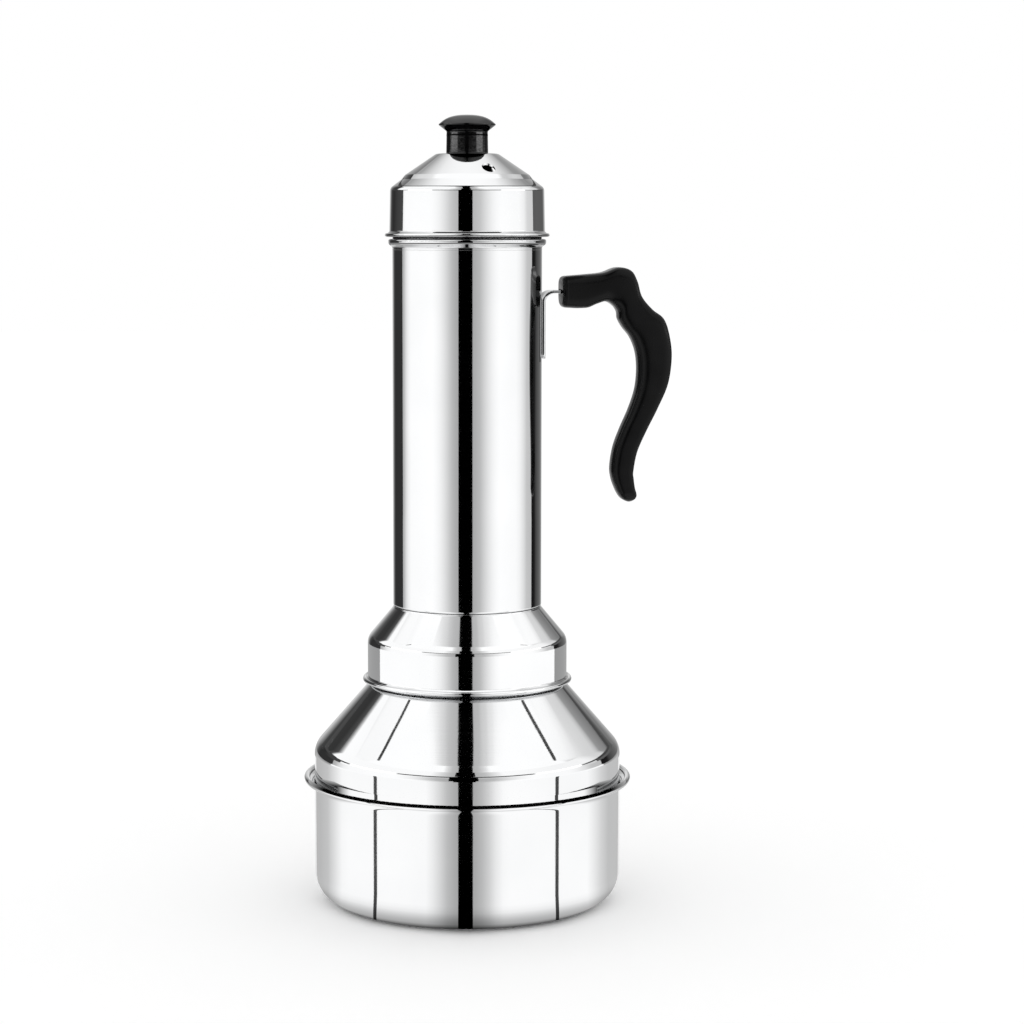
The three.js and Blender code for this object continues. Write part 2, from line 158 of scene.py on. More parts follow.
gripLook = {"dark": (0.0012, 0.0012, 0.0013), "light": (0.0032, 0.0032, 0.0034), "flow": 70.0, "skin": 1400.0,
            "rough": (0.16, 0.24), "level": 0.12, "dents": 0.08}
knobLook = {"dark": (0.001, 0.001, 0.0011), "light": (0.003, 0.003, 0.0032), "flow": 420.0, "skin": 1400.0,
            "rough": (0.05, 0.11), "level": 0.4, "dents": 0.04}


def blackBakeliteFinish(name, look):
    finish, tree, shader, place = startFinish(name)
    flow = noiseOf(tree, place, look["flow"], 4.0)
    skin = noiseOf(tree, place, look["skin"], 2.0)
    toneOf(tree, shader, flow, look["dark"], look["light"])
    tree.links.new(rangeOf(tree, flow, *look["rough"]), shader.inputs["Roughness"])
    shader.inputs["Specular IOR Level"].default_value = look["level"]
    height = calc(tree, "ADD", skin, calc(tree, "MULTIPLY", flow, 2.0))
    bumpOf(tree, shader, height, look["dents"], distance=0.0004)
    return finish


def zincSteelFinish():
    look = {"dark": (0.5, 0.505, 0.5), "light": (0.68, 0.69, 0.68), "spangle": 420.0,
            "rough": (0.24, 0.4), "dents": 0.1}
    finish, tree, shader, place = startFinish("zincSteel", 1.0)
    spangle = noiseOf(tree, place, look["spangle"], 3.0)
    toneOf(tree, shader, spangle, look["dark"], look["light"])
    tree.links.new(rangeOf(tree, spangle, *look["rough"]), shader.inputs["Roughness"])
    bumpOf(tree, shader, spangle, look["dents"], distance=0.0003)
    return finish


def turnedBrassFinish():
    look = {"dark": (0.55, 0.38, 0.14), "light": (0.74, 0.56, 0.26), "rings": 1500.0,
            "rough": (0.22, 0.38), "dents": 0.1}
    finish, tree, shader, place = startFinish("turnedBrass", 1.0)
    rings = turnedRings(tree, place, look["rings"])
    toneOf(tree, shader, rings, look["dark"], look["light"])
    tree.links.new(rangeOf(tree, rings, *look["rough"]), shader.inputs["Roughness"])
    bumpOf(tree, shader, rings, look["dents"], distance=0.0002)
    return finish


polishedSteel = polishedSteelFinish()
satinSteel = satinSteelFinish("satinSteel", satinLook)
strapSteel = satinSteelFinish("strapSteel", strapLook)
gripBakelite = blackBakeliteFinish("gripBakelite", gripLook)
knobBakelite = blackBakeliteFinish("knobBakelite", knobLook)
zincSteel = zincSteelFinish()
turnedBrass = turnedBrassFinish()
print("finishes made")


# Geometry Nodes: turns a profile (distance from the axis in x, height in z) about the Z axis
def makeTurnedTree():
    tree = bpy.data.node_groups.new("turnedProfile", "GeometryNodeTree")
    face = tree.interface
    face.new_socket("Geometry", in_out="INPUT", socket_type="NodeSocketGeometry")
    face.new_socket("Segments", in_out="INPUT", socket_type="NodeSocketInt")
    face.new_socket("Finish", in_out="INPUT", socket_type="NodeSocketMaterial")
    face.new_socket("Geometry", in_out="OUTPUT", socket_type="NodeSocketGeometry")
    inputs = addNode(tree, "NodeGroupInput").outputs
    size = addNode(tree, "GeometryNodeAttributeDomainSize")
    tree.links.new(inputs["Geometry"], size.inputs[0])
    columns = calc(tree, "ADD", inputs["Segments"], 1.0)
    grid = addNode(tree, "GeometryNodeMeshGrid")
    tree.links.new(size.outputs["Point Count"], grid.inputs["Vertices X"])
    tree.links.new(columns, grid.inputs["Vertices Y"])
    index = addNode(tree, "GeometryNodeInputIndex").outputs[0]
    row = calc(tree, "FLOOR", calc(tree, "DIVIDE", index, columns))
    column = calc(tree, "SUBTRACT", index, calc(tree, "MULTIPLY", row, columns))
    angle = calc(tree, "MULTIPLY", calc(tree, "DIVIDE", column, inputs["Segments"]), 2 * math.pi)
    sample = addNode(tree, "GeometryNodeSampleIndex", data_type="FLOAT_VECTOR", domain="POINT")
    tree.links.new(inputs["Geometry"], sample.inputs["Geometry"])
    tree.links.new(addNode(tree, "GeometryNodeInputPosition").outputs[0], sample.inputs["Value"])
    tree.links.new(row, sample.inputs["Index"])
    parts = addNode(tree, "ShaderNodeSeparateXYZ")
    tree.links.new(sample.outputs[0], parts.inputs[0])
    spot = addNode(tree, "ShaderNodeCombineXYZ")
    tree.links.new(calc(tree, "MULTIPLY", parts.outputs[0], calc(tree, "COSINE", angle)), spot.inputs[0])
    tree.links.new(calc(tree, "MULTIPLY", parts.outputs[0], calc(tree, "SINE", angle)), spot.inputs[1])
    tree.links.new(parts.outputs[2], spot.inputs[2])
    move = addNode(tree, "GeometryNodeSetPosition")
    tree.links.new(grid.outputs["Mesh"], move.inputs["Geometry"])
    tree.links.new(spot.outputs[0], move.inputs["Position"])
    merge = addNode(tree, "GeometryNodeMergeByDistance")
    merge.inputs["Distance"].default_value = 0.000002
    tree.links.new(move.outputs[0], merge.inputs["Geometry"])
    return closeTree(tree, merge.outputs[0], inputs["Finish"])


# every tree ends in smooth shading, real geometry and its finish
def closeTree(tree, shape, finish):
    smooth = addNode(tree, "GeometryNodeSetShadeSmooth")
    tree.links.new(shape, smooth.inputs["Geometry"])
    real = addNode(tree, "GeometryNodeRealizeInstances")
    tree.links.new(smooth.outputs[0], real.inputs["Geometry"])
    paint = addNode(tree, "GeometryNodeSetMaterial")
    tree.links.new(real.outputs[0], paint.inputs["Geometry"])
    tree.links.new(finish, paint.inputs["Material"])
    tree.links.new(paint.outputs[0], addNode(tree, "NodeGroupOutput").inputs[0])
    return tree


# Geometry Nodes: punches a round hole at every point of another mesh
def makePunchTree():
    tree = bpy.data.node_groups.new("punchedHoles", "GeometryNodeTree")
    face = tree.interface
    face.new_socket("Geometry", in_out="INPUT", socket_type="NodeSocketGeometry")
    face.new_socket("Places", in_out="INPUT", socket_type="NodeSocketObject")
    face.new_socket("Hole Radius", in_out="INPUT", socket_type="NodeSocketFloat")
    face.new_socket("Punch Length", in_out="INPUT", socket_type="NodeSocketFloat")
    face.new_socket("Sides", in_out="INPUT", socket_type="NodeSocketInt")
    face.new_socket("Finish", in_out="INPUT", socket_type="NodeSocketMaterial")
    face.new_socket("Geometry", in_out="OUTPUT", socket_type="NodeSocketGeometry")
    inputs = addNode(tree, "NodeGroupInput").outputs
    places = addNode(tree, "GeometryNodeObjectInfo")
    tree.links.new(inputs["Places"], places.inputs["Object"])
    punch = addNode(tree, "GeometryNodeMeshCylinder")
    tree.links.new(inputs["Sides"], punch.inputs["Vertices"])
    tree.links.new(inputs["Hole Radius"], punch.inputs["Radius"])
    tree.links.new(inputs["Punch Length"], punch.inputs["Depth"])
    spread = addNode(tree, "GeometryNodeInstanceOnPoints")
    tree.links.new(places.outputs["Geometry"], spread.inputs["Points"])
    tree.links.new(punch.outputs["Mesh"], spread.inputs["Instance"])
    real = addNode(tree, "GeometryNodeRealizeInstances")
    tree.links.new(spread.outputs[0], real.inputs["Geometry"])
    cut = addNode(tree, "GeometryNodeMeshBoolean", operation="DIFFERENCE")
    tree.links.new(inputs["Geometry"], cut.inputs["Mesh 1"])
    tree.links.new(real.outputs[0], cut.inputs["Mesh 2"])
    return closeTree(tree, cut.outputs["Mesh"], inputs["Finish"])


turnedTree = makeTurnedTree()
punchTree = makePunchTree()


def newObject(name, points, edges=(), faces=()):
    mesh = bpy.data.meshes.new(name)
    mesh.from_pydata([tuple(p) for p in points], edges, faces)
    obj = bpy.data.objects.new(name, mesh)
    bpy.context.scene.collection.objects.link(obj)
    return obj


# turns modifiers into a plain mesh, closes seams and points the faces outwards
def settle(obj, sharpAngle=None):
    view = bpy.context.evaluated_depsgraph_get()
    before = obj.data
    obj.data = bpy.data.meshes.new_from_object(obj.evaluated_get(view), depsgraph=view)
    obj.modifiers.clear()
    bpy.data.meshes.remove(before)
    obj.data.name = obj.name
    work = bmesh.new()
    work.from_mesh(obj.data)
    bmesh.ops.remove_doubles(work, verts=work.verts, dist=0.000002)
    bmesh.ops.dissolve_degenerate(work, edges=work.edges, dist=0.0000005)
    bmesh.ops.recalc_face_normals(work, faces=work.faces)
    work.to_mesh(obj.data)
    work.free()
    for face in obj.data.polygons:
        face.use_smooth = True
    if sharpAngle:
        obj.data.set_sharp_from_angle(angle=math.radians(sharpAngle))
    return obj


def runTree(obj, tree, values, sharpAngle=None):
    nodes = obj.modifiers.new("nodes", "NODES")
    nodes.node_group = tree
    for item in tree.interface.items_tree:
        if item.item_type == "SOCKET" and item.in_out == "INPUT" and item.name in values:
            nodes[item.identifier] = values[item.name]
    return settle(obj, sharpAngle)


def turned(name, profile, finish, segments=192, sharpAngle=None):
    points = [(r * mm, 0, z * mm) for r, z in profile]
    obj = newObject(name, points, [(i, i + 1) for i in range(len(points) - 1)])
    return runTree(obj, turnedTree, {"Segments": segments, "Finish": finish}, sharpAngle)


def punched(obj, places, radius, length, sides, finish, sharpAngle=35):
    spots = newObject("punchPlaces", [(x * mm, y * mm, z * mm) for x, y, z in places])
    values = {"Places": spots, "Hole Radius": radius * mm, "Punch Length": length * mm, "Sides": sides,
              "Finish": finish}
    runTree(obj, punchTree, values, sharpAngle)
    bpy.data.objects.remove(spots)
    return obj


def fitted(obj, body, slot, *nodes):
    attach(obj, body)
    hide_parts(*nodes)


# rounds the corners (r, z, bend) of a sheet's middle line; a straight stays straight up to its bend
def bendLine(corners, step=4.0, hold=0.3):
    line = []
    for i, corner in enumerate(corners):
        here = Vector(corner[:2])
        if len(corner) < 3:
            line.append(here)
            continue
        back = (Vector(corners[i - 1][:2]) - here).normalized()
        ahead = (Vector(corners[i + 1][:2]) - here).normalized()
        half = back.angle(ahead) / 2
        reach = corner[2] / math.tan(half)
        centre = here + (back + ahead).normalized() * corner[2] / math.sin(half)
        turn = math.pi - 2 * half
        if back.x * ahead.y - back.y * ahead.x > 0:
            turn = -turn
        count = max(3, math.ceil(abs(turn) / math.radians(step)))
        arm = here + back * reach - centre
        line.append(here + back * (reach + hold))
        for k in range(count + 1):
            line.append(centre + Matrix.Rotation(turn * k / count, 2) @ arm)
        line.append(here + ahead * (reach + hold))
    return line


def sideOf(line, offset):
    side = []
    heads = [(b - a).normalized() for a, b in zip(line, line[1:])]
    for i, point in enumerate(line):
        before = heads[max(i - 1, 0)]
        after = heads[min(i, len(heads) - 1)]
        normal = Vector((-before.y - after.y, before.x + after.x)).normalized()
        across = normal.dot(Vector((-before.y, before.x)))
        side.append(point + normal * offset / across)
    return side, heads


def ray(centre, radius, angle):
    return Vector((centre.x + radius * math.cos(angle), centre.y + radius * math.sin(angle)))


# rounded cut edge of a sheet, from one face to the other
def cutEdge(end, out, side):
    half = sheet / 2
    edge = []
    for k in range(1, 8):
        angle = math.pi * k / 8
        edge.append(end - out * half + side * half * math.cos(angle) + out * half * math.sin(angle))
    return edge


# seam of a curled edge: angles round the bead in radians, depths and straights in mm
seamMake = {"gap": 0.42, "near": 0.06, "far": 0.05, "edge": 0.12, "deep": 0.5, "straights": (0.2, 0.06)}


# a sheet's wall round its middle line: cut edges are rounded, a curled edge shows its seam
def sheetWall(corners, bead=0.0, seamFirst=False):
    half = sheet / 2
    line = bendLine(corners)
    left, heads = sideOf(line, half)
    right, heads = sideOf(line, -half)
    if bead:
        centre = line[-1]
        entry = math.atan2(heads[-1].y, heads[-1].x) + math.pi
        mouth = math.asin(half / bead)
        gap = seamMake["gap"]
        first = mouth + (gap if seamFirst else 0)
        last = 2 * math.pi - mouth - (0 if seamFirst else gap)
        back = Vector((math.cos(entry), math.sin(entry)))
        for wall in (left, right):
            end = wall.pop()
            for straight in seamMake["straights"]:
                wall.append(end + back * (bead * math.cos(mouth) + straight))
        edge = bead - seamMake["edge"]
        deep = bead - seamMake["deep"]
        count = 48
        arc = [ray(centre, bead, entry - first - (last - first) * k / count) for k in range(count + 1)]
        if seamFirst:
            start = entry - mouth
            seam = [ray(centre, edge, start - seamMake["near"]), ray(centre, deep, start - gap * 0.5)]
            seam.append(ray(centre, edge, start - gap + seamMake["far"]))
            closing = seam + arc
        else:
            start = entry + mouth
            seam = [ray(centre, edge, start + gap - seamMake["far"]), ray(centre, deep, start + gap * 0.5)]
            seam.append(ray(centre, edge, start + seamMake["near"]))
            closing = arc + seam
    else:
        out = heads[-1]
        left[-1] = left[-1] - out * half
        right[-1] = right[-1] - out * half
        closing = cutEdge(line[-1], out, Vector((-out.y, out.x)))
    if line[0].x == 0:
        return [tuple(p) for p in left + closing + right[::-1]]
    out = -heads[0]
    left[0] = left[0] - out * half
    right[0] = right[0] - out * half
    opening = cutEdge(line[0], out, Vector((-out.y, out.x)))
    loop = left + closing + right[::-1] + opening
    return [tuple(p) for p in loop + loop[:1]]


# rows of points, each a closed ring, joined into one closed surface
def lofted(name, rings, finish, sharpAngle=None):
    count = len(rings[0])
    points = [p * mm for ring in rings for p in ring]
    faces = []
    for i in range(len(rings) - 1):
        for k in range(count):
            n = (k + 1) % count
            faces.append((i * count + k, i * count + n, (i + 1) * count + n, (i + 1) * count + k))
    faces.append(tuple(range(count))[::-1])
    faces.append(tuple(range((len(rings) - 1) * count, len(rings) * count)))
    obj = newObject(name, points, (), faces)
    obj.data.materials.append(finish)
    return settle(obj, sharpAngle)


def cutBy(obj, cutters, sharpAngle=35):
    for cutter in cutters:
        cut = obj.modifiers.new("cut", "BOOLEAN")
        cut.operation = "DIFFERENCE"
        cut.solver = "EXACT"
        cut.object = cutter
    settle(obj, sharpAngle)
    for cutter in cutters:
        bpy.data.objects.remove(cutter)
    return obj


def roundCutter(name, x, radius, low, high, sides=48):
    rings = []
    for z in (low, high):
        turns = [2 * math.pi * k / sides for k in range(sides)]
        rings.append([Vector((x + radius * math.cos(t), radius * math.sin(t), z)) for t in turns])
    return lofted(name, rings, zincSteel)


def boxCutter(name, low, high):
    rings = []
    for x in (low[0], high[0]):
        ends = ((low[1], low[2]), (high[1], low[2]), (high[1], high[2]), (low[1], high[2]))
        rings.append([Vector((x, y, z)) for y, z in ends])
    return lofted(name, rings, zincSteel)


def boxOf(node):
    low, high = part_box(node)
    return low / mm, high / mm


# water pot
potMake = {"radius": 77.7, "corner": 16.5, "reach": 5.2, "bead": 1.5, "lipBend": 4.0, "lipLean": 65.0,
           "height": 65.2}
wall = potMake["radius"] - sheet / 2
rimOut = potMake["radius"] + potMake["reach"] - potMake["bead"]
rimUp = potMake["height"] - potMake["bead"]
flare = rimUp - (rimOut - wall) / math.tan(math.radians(potMake["lipLean"]))
basePot = turned("basePot", sheetWall([
    (0, sheet / 2),
    (wall, sheet / 2, potMake["corner"] - sheet / 2),
    (wall, flare, potMake["lipBend"]),
    (rimOut, rimUp),
], potMake["bead"]), polishedSteel, 224)
fitted(basePot, "pot", "polished_steel", "base_pot")

# steam cone: sleeve and step in the pot's mouth, skirt, cone and neck
coneMake = {"sleeve": 76.1, "sleeveHeight": 12.0, "step": 1.0, "ledge": 76.75, "skirt": 77.15,
            "skirtFlare": 3.0, "skirtHeight": 18.74, "coneHeight": 33.06, "neck": 48.5,
            "shoulderBend": 11.0, "neckBend": 2.0, "stepBend": 0.7, "flareBend": 1.0}
low = boxOf("steam_cone")[0]
neckTop = boxOf("cone_neck")[1].z
stepUp = low.z + coneMake["sleeveHeight"]
shoulder = stepUp + coneMake["step"] + coneMake["skirtHeight"]
steamCone = turned("steamCone", sheetWall([
    (coneMake["sleeve"], low.z),
    (coneMake["sleeve"], stepUp, coneMake["stepBend"]),
    (coneMake["ledge"], stepUp + coneMake["step"], coneMake["stepBend"]),
    (coneMake["skirt"], stepUp + coneMake["step"] + coneMake["skirtFlare"], coneMake["flareBend"]),
    (coneMake["skirt"], shoulder, coneMake["shoulderBend"]),
    (coneMake["neck"], shoulder + coneMake["coneHeight"], coneMake["neckBend"]),
    (coneMake["neck"], neckTop),
]), polishedSteel, 224)
fitted(steamCone, "cone", "polished_steel", "steam_cone", "cone_neck")

# steaming tube: lip turned in at the foot, stop bead swaged out below the open end
tubeMake = {"radius": 37.45, "footLip": 3.6, "footBend": 0.7, "stopDrop": 19.7, "stopReach": 2.05,
            "stopCrown": 1.3, "stopFoot": 2.6, "stopBend": 1.3, "ledge": 0.66, "ledgeBend": 0.55}
low, high = boxOf("puttu_tube")
tubeFoot = low.z
tubeTop = high.z
tubeWall = tubeMake["radius"] - sheet / 2
stopUp = tubeTop - tubeMake["stopDrop"]
crest = tubeWall + tubeMake["stopReach"]
puttuTube = turned("puttuTube", sheetWall([
    (tubeMake["radius"] - sheet - tubeMake["footLip"], tubeFoot + sheet / 2),
    (tubeWall, tubeFoot + sheet / 2, tubeMake["footBend"]),
    (tubeWall, stopUp - tubeMake["stopFoot"], tubeMake["stopBend"]),
    (crest, stopUp - tubeMake["stopCrown"], tubeMake["stopBend"]),
    (crest, stopUp + tubeMake["ledge"], tubeMake["ledgeBend"]),
    (tubeWall, stopUp + tubeMake["ledge"], tubeMake["ledgeBend"]),
    (tubeWall, tubeTop),
]), polishedSteel, 192)
fitted(puttuTube, "tube", "polished_steel", "puttu_tube")

# collar under the tube: land, cone, wall and curled lower edge
collarMake = {"radius": 50.4, "depth": 20.9, "rise": 15.9, "bend": 6.5, "reach": 2.5, "bead": 1.2,
              "land": 0.5, "flareLean": 46.0, "flareBend": 1.0, "landBend": 0.5}
collarWall = collarMake["radius"] - sheet / 2
collarCorner = tubeFoot - collarMake["land"] - collarMake["rise"]
collarEdge = collarMake["radius"] + collarMake["reach"] - collarMake["bead"]
collarLow = collarCorner - collarMake["depth"]
flareTop = collarLow + (collarEdge - collarWall) / math.tan(math.radians(collarMake["flareLean"]))
tubeCollar = turned("tubeCollar", sheetWall([
    (tubeWall, tubeFoot),
    (tubeWall, tubeFoot - collarMake["land"] - sheet / 2, collarMake["landBend"]),
    (collarWall, collarCorner, collarMake["bend"]),
    (collarWall, flareTop, collarMake["flareBend"]),
    (collarEdge, collarLow),
], collarMake["bead"], seamFirst=True), polishedSteel, 192)
fitted(tubeCollar, "tube", "polished_steel", "tube_collar")

# strainer: shallow inverted cup with rings of steam holes
discMake = {"gap": 0.5, "bend": 1.6, "hole": 3.4, "holeSides": 28, "pitch": 9.4, "rings": 3}
low, high = boxOf("perforated_disc")
rim = tubeMake["radius"] - sheet - discMake["gap"] - sheet / 2
plate = high.z - sheet / 2
cup = sheetWall([(0, plate), (rim, plate, discMake["bend"]), (rim, low.z)])
strainer = turned("strainerDisc", cup, satinSteel, 160)
holes = [(0, 0, plate)]
for ring in range(1, discMake["rings"] + 1):
    out = ring * discMake["pitch"]
    for k in range(6 * ring):
        turn = 2 * math.pi * k / (6 * ring)
        holes.append((out * math.cos(turn), out * math.sin(turn), plate))
punched(strainer, holes, discMake["hole"] / 2, 3 * sheet, discMake["holeSides"], satinSteel)
fitted(strainer, "disc", "satin_steel", "perforated_disc")

# lid: flat top, cone, steep ring, shoulder, wall and curled edge, three steam holes
lidMake = {"slip": 0.22, "draft": 0.43, "height": 40.3, "reach": 2.3, "bead": 0.95, "flat": 15.3,
           "crown": 30.7, "crownDrop": 10.4, "ring": 1.9, "ringDrop": 2.3, "shoulderDrop": 4.1,
           "corner": 2.7, "crownBend": 3.0, "ringBend": 0.7, "flareLean": 47.0, "flareBend": 1.0,
           "screwHole": 2.2, "vent": 6.7, "ventOut": 26.4, "ventDrop": 6.5, "ventTurn": -74.6,
           "ventSides": 48, "vents": 3, "punch": 12.0}
lidTop = boxOf("lid_cap")[1].z
lidEdge = lidTop - lidMake["height"]
lidWall = tubeMake["radius"] + lidMake["slip"] + sheet / 2
lidOut = lidWall + lidMake["draft"] + sheet / 2 + lidMake["reach"] - lidMake["bead"]
flareTop = lidEdge + (lidOut - lidWall - lidMake["draft"]) / math.tan(math.radians(lidMake["flareLean"]))
top = lidTop - sheet / 2
ringTop = top - lidMake["crownDrop"]
ringFoot = ringTop - lidMake["ringDrop"]
lidCap = turned("lidCap", sheetWall([
    (lidMake["screwHole"], top),
    (lidMake["flat"], top, lidMake["crownBend"]),
    (lidMake["crown"], ringTop, lidMake["ringBend"]),
    (lidMake["crown"] + lidMake["ring"], ringFoot, lidMake["ringBend"]),
    (lidWall, ringFoot - lidMake["shoulderDrop"], lidMake["corner"]),
    (lidWall + lidMake["draft"], flareTop, lidMake["flareBend"]),
    (lidOut, lidEdge),
], lidMake["bead"], seamFirst=True), polishedSteel, 192)
vents = []
ventOut = lidMake["ventOut"]
for k in range(lidMake["vents"]):
    turn = math.radians(lidMake["ventTurn"]) + 2 * math.pi * k / lidMake["vents"]
    vents.append((ventOut * math.cos(turn), ventOut * math.sin(turn), lidTop - lidMake["ventDrop"]))
punched(lidCap, vents, lidMake["vent"] / 2, lidMake["punch"], lidMake["ventSides"], polishedSteel)
lidCap.data.materials.append(satinSteel)
for face in lidCap.data.polygons:  # the inside keeps the press's satin look
    out = face.center.xy.length / mm
    inward = face.normal.xy.dot(face.center.xy) < 0 and face.center.z / mm < lidTop - 1.0
    if out < lidWall - 0.1 and (face.normal.z < -0.2 or inward):
        face.material_index = 1
fitted(lidCap, "lid", "polished_steel", "lid_cap")
print("pressed pieces turned")

# knob: waisted stem under a thin finger flange with a low crown
knobMake = {"stem": 10.5, "taper": 0.2, "neck": 11.0, "flange": 14.2, "edge": 14.55, "height": 19.2,
            "lip": 0.48, "lipBend": 0.35, "cove": 0.8, "footBend": 0.5, "bore": 3.9, "boreDepth": 10.4}
flange = knobMake["flange"]
flangeTop = lidTop + knobMake["edge"]
knobTop = lidTop + knobMake["height"]
crown = knobMake["height"] - knobMake["edge"]
outline = bendLine([
    (knobMake["bore"], lidTop),
    (knobMake["stem"], lidTop, knobMake["footBend"]),
    (knobMake["stem"] - knobMake["taper"], lidTop + knobMake["neck"], knobMake["cove"]),
    (flange, flangeTop - knobMake["lip"], knobMake["lipBend"]),
    (flange, flangeTop),
])
ends = [Vector((flange, flangeTop)), Vector((flange - crown / 2, flangeTop + crown * 0.45)),
        Vector((flange - crown * 1.1, knobTop + 0.15)), Vector((0, knobTop))]
for k in range(1, 33):
    t = k / 32
    s = 1 - t
    outline.append(ends[0] * s ** 3 + ends[1] * 3 * s * s * t + ends[2] * 3 * s * t * t + ends[3] * t ** 3)
profile = [tuple(p) for p in outline]
boreTop = lidTop + knobMake["boreDepth"]
profile += [(0, boreTop), (knobMake["bore"], boreTop), (knobMake["bore"], lidTop)]
lidKnob = turned("lidKnob", profile, knobBakelite, 128, 50)
fitted(lidKnob, "lid", "black_bakelite", "lid_knob")


# moulded-in brass sleeve with grip grooves
sleeveMake = {"outer": 3.7, "inner": 2.2, "chamfer": 0.2, "groove": 0.35, "mouth": 0.45, "floor": 0.25}


def brassSleeve(name, low, length, grooves=3):
    outer = sleeveMake["outer"]
    inner = sleeveMake["inner"]
    chamfer = sleeveMake["chamfer"]
    deep = outer - sleeveMake["groove"]
    high = low + length
    corners = [(inner, low), (outer - chamfer, low), (outer, low + chamfer)]
    for k in range(grooves):
        middle = low + length * (k + 1) / (grooves + 1)
        corners += [(outer, middle - sleeveMake["mouth"]), (deep, middle - sleeveMake["floor"])]
        corners += [(deep, middle + sleeveMake["floor"]), (outer, middle + sleeveMake["mouth"])]
    corners += [(outer, high - chamfer), (outer - chamfer, high), (inner, high), (inner, low)]
    return turned(name, corners, turnedBrass, 64, 25)


# pan-head screw pointing up: domed head with a cross recess, helical thread on the shank
screwMake = {"head": 4.0, "headHeight": 2.4, "dome": 0.62, "flat": 0.42, "edge": 0.12, "shank": 2.0,
             "pitch": 0.7, "depth": 0.36, "runOut": 0.3, "tip": 1.3, "recess": (1.9, 0.42),
             "recessDepth": 1.35}


def panScrew(name, x, low, high):
    under = low + screwMake["headHeight"]
    head = screwMake["head"]
    edge = screwMake["edge"]
    flat = screwMake["flat"]
    rings = []
    sides = 48
    turns = [2 * math.pi * k / sides for k in range(sides)]
    for k in range(9):
        angle = math.pi / 2 * k / 8
        rise = screwMake["headHeight"] * screwMake["dome"] * (1 - math.cos(angle))
        rings.append((head * (flat + (1 - flat) * math.sin(angle)), low + rise))
    rings += [(head, under - edge), (head - edge, under), (screwMake["shank"], under)]
    shape = [[Vector((x + r * math.cos(t), r * math.sin(t), z)) for t in turns] for r, z in rings]
    threaded = high - under - 2 * screwMake["runOut"]
    rows = math.ceil(threaded / screwMake["pitch"] * 8)
    for k in range(rows + 1):
        z = under + screwMake["runOut"] + threaded * k / rows
        ring = []
        for t in turns:
            phase = ((z - under) / screwMake["pitch"] + t / (2 * math.pi)) % 1.0
            radius = screwMake["shank"] - screwMake["depth"] * abs(2 * phase - 1)
            ring.append(Vector((x + radius * math.cos(t), radius * math.sin(t), z)))
        shape.append(ring)
    tip = screwMake["tip"]
    shape.append([Vector((x + tip * math.cos(t), tip * math.sin(t), high)) for t in turns])
    screw = lofted(name, shape, zincSteel)
    slots = []
    floor = low + screwMake["recessDepth"]
    for k, (wide, deep) in enumerate((screwMake["recess"], screwMake["recess"][::-1])):
        slots.append(boxCutter("recess" + str(k), (x - wide, -deep, low - 1.0), (x + wide, deep, floor)))
    return cutBy(screw, slots, 30)


low, high = boxOf("knob_insert")
knobInsert = brassSleeve("knobInsert", low.z, high.z - low.z)
fitted(knobInsert, "lid", "brass", "knob_insert")
washerMake = {"bore": 2.2, "radius": 5.5, "edge": 0.2}
low, high = boxOf("knob_washer")
washer = turned("knobWasher", bendLine([
    (washerMake["bore"], low.z),
    (washerMake["radius"], low.z, washerMake["edge"]),
    (washerMake["radius"], high.z, washerMake["edge"]),
    (washerMake["bore"], high.z),
    (washerMake["bore"], low.z),
]), zincSteel, 64, 40)
fitted(washer, "lid", "zinc_steel", "knob_washer")
low, high = boxOf("knob_screw")
knobScrew = panScrew("knobScrew", 0, low.z, high.z)
fitted(knobScrew, "lid", "zinc_steel", "knob_screw")

# strap: leg rolled to the tube and spot-welded, bend, arm and the narrower tang inside the grip
strapMake = {"thick": 1.5, "width": 16.0, "tangWidth": 9.6, "inside": 37.75, "bend": 4.0, "gripEnd": 47.45,
             "armUp": 309.43, "screwOut": 11.0, "hole": 2.2, "weldAt": (8.0, 19.0), "weldRadius": 2.1,
             "weldDent": 0.3, "legCorner": 3.0, "tangCorner": 1.5, "tangEase": 1.2, "edge": 0.4}
low, high = boxOf("handle_bracket")
half = strapMake["thick"] / 2
legX = strapMake["inside"] + half
bendX = strapMake["inside"] + strapMake["thick"] + strapMake["bend"]
bendZ = strapMake["armUp"] - half - strapMake["bend"]
bendMid = strapMake["bend"] + half
path = []
for k in range(61):
    path.append((Vector((legX, 0, low.z + (bendZ - low.z) * k / 60)), Vector((-1, 0, 0)), 1.0))
for k in range(1, 17):
    angle = math.pi - math.pi / 2 * k / 16
    away = Vector((math.cos(angle), 0, math.sin(angle)))
    path.append((Vector((bendX, 0, bendZ)) + away * bendMid, away, 1.0 - k / 16))
for k in range(1, 41):
    path.append((Vector((bendX + (high.x - bendX) * k / 40, 0, strapMake["armUp"])), Vector((0, 0, 1)), 0.0))
rings = []
across = [math.sin(math.pi / 2 * (-1 + 2 * k / 24)) for k in range(25)]
